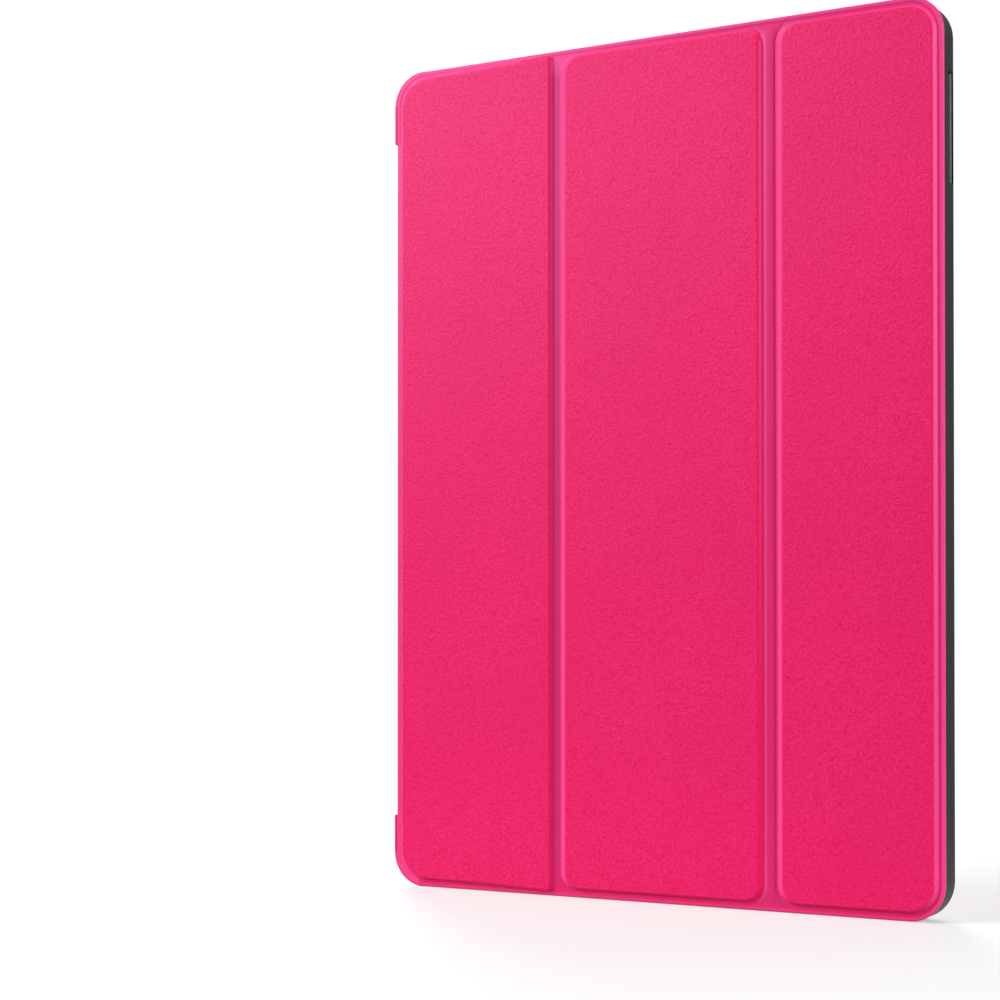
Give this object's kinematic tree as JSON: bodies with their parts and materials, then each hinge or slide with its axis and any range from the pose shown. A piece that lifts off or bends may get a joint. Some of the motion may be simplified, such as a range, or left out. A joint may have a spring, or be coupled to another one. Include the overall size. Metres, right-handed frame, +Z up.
{
  "type": "tablet folio case",
  "caption": "Tri-fold folio case: a hard tray for a tablet, with one long wall and four corners, and a hinged leather cover whose panels fold into a stand.",
  "frame": {"origin": "bottom centre of the closed case, standing upright on its short edge", "axes": "+Z up along the long side, +X from the spine towards the cover's free edge, -Y out of the front of the cover"},
  "size_m": [0.174, 0.0116, 0.246],
  "materials": {
    "pink_leather": "fine pebbled grain, satin",
    "grey_microfibre": "soft microfibre",
    "shell_plastic": "fine matte",
    "board": "plain",
    "steel": "plain",
    "magnet": "plated"
  },
  "bodies": {
    "shell": {"back_shell": "shell_plastic", "back_skin": "pink_leather", "tray_lining": "grey_microfibre", "back_fold_skin": "pink_leather", "back_fold_lining": "grey_microfibre"},
    "spine_flap": {"flap_skin": "pink_leather", "flap_board": "board", "flap_lining": "grey_microfibre", "front_fold_skin": "pink_leather", "front_fold_lining": "grey_microfibre"},
    "panel_1": {"panel_1_skin": "pink_leather", "panel_1_board": "board", "panel_1_lining": "grey_microfibre", "keeper_strip": "steel", "crease_1_2_skin": "pink_leather", "crease_1_2_lining": "grey_microfibre"},
    "panel_2": {"panel_2_skin": "pink_leather", "panel_2_board": "board", "panel_2_lining": "grey_microfibre", "crease_2_3_skin": "pink_leather", "crease_2_3_lining": "grey_microfibre"},
    "panel_3": {"panel_3_skin": "pink_leather", "panel_3_board": "board", "panel_3_lining": "grey_microfibre", "edge_magnet_1": "magnet", "edge_magnet_2": "magnet", "edge_magnet_3": "magnet", "wake_magnet": "magnet"}
  },
  "joints": [
    {"name": "back_fold", "type": "hinge", "parent": "shell", "child": "spine_flap", "pos_m": [-0.0855, 0.0055, 0.123], "axis": [0, 0, -1], "range_deg": [0, 200], "deforming": ["back_fold_skin", "back_fold_lining"]},
    {"name": "front_fold", "type": "hinge", "parent": "spine_flap", "child": "panel_1", "pos_m": [-0.0855, -0.00395, 0.123], "axis": [0, 0, -1], "range_deg": [0, 90], "deforming": ["front_fold_skin", "front_fold_lining"]},
    {"name": "crease_1_2", "type": "hinge", "parent": "panel_1", "child": "panel_2", "pos_m": [-0.0303, -0.00465, 0.123], "axis": [0, 0, -1], "range_deg": [0, 130.6], "deforming": ["crease_1_2_skin", "crease_1_2_lining"]},
    {"name": "crease_2_3", "type": "hinge", "parent": "panel_2", "child": "panel_3", "pos_m": [0.0373, -0.00465, 0.123], "axis": [0, 0, -1], "range_deg": [0, 139.45], "deforming": ["crease_2_3_skin", "crease_2_3_lining"]}
  ],
  "couplings": [
    {"joint": "crease_2_3", "follows": "crease_1_2", "ratio": 1.0674}
  ]
}
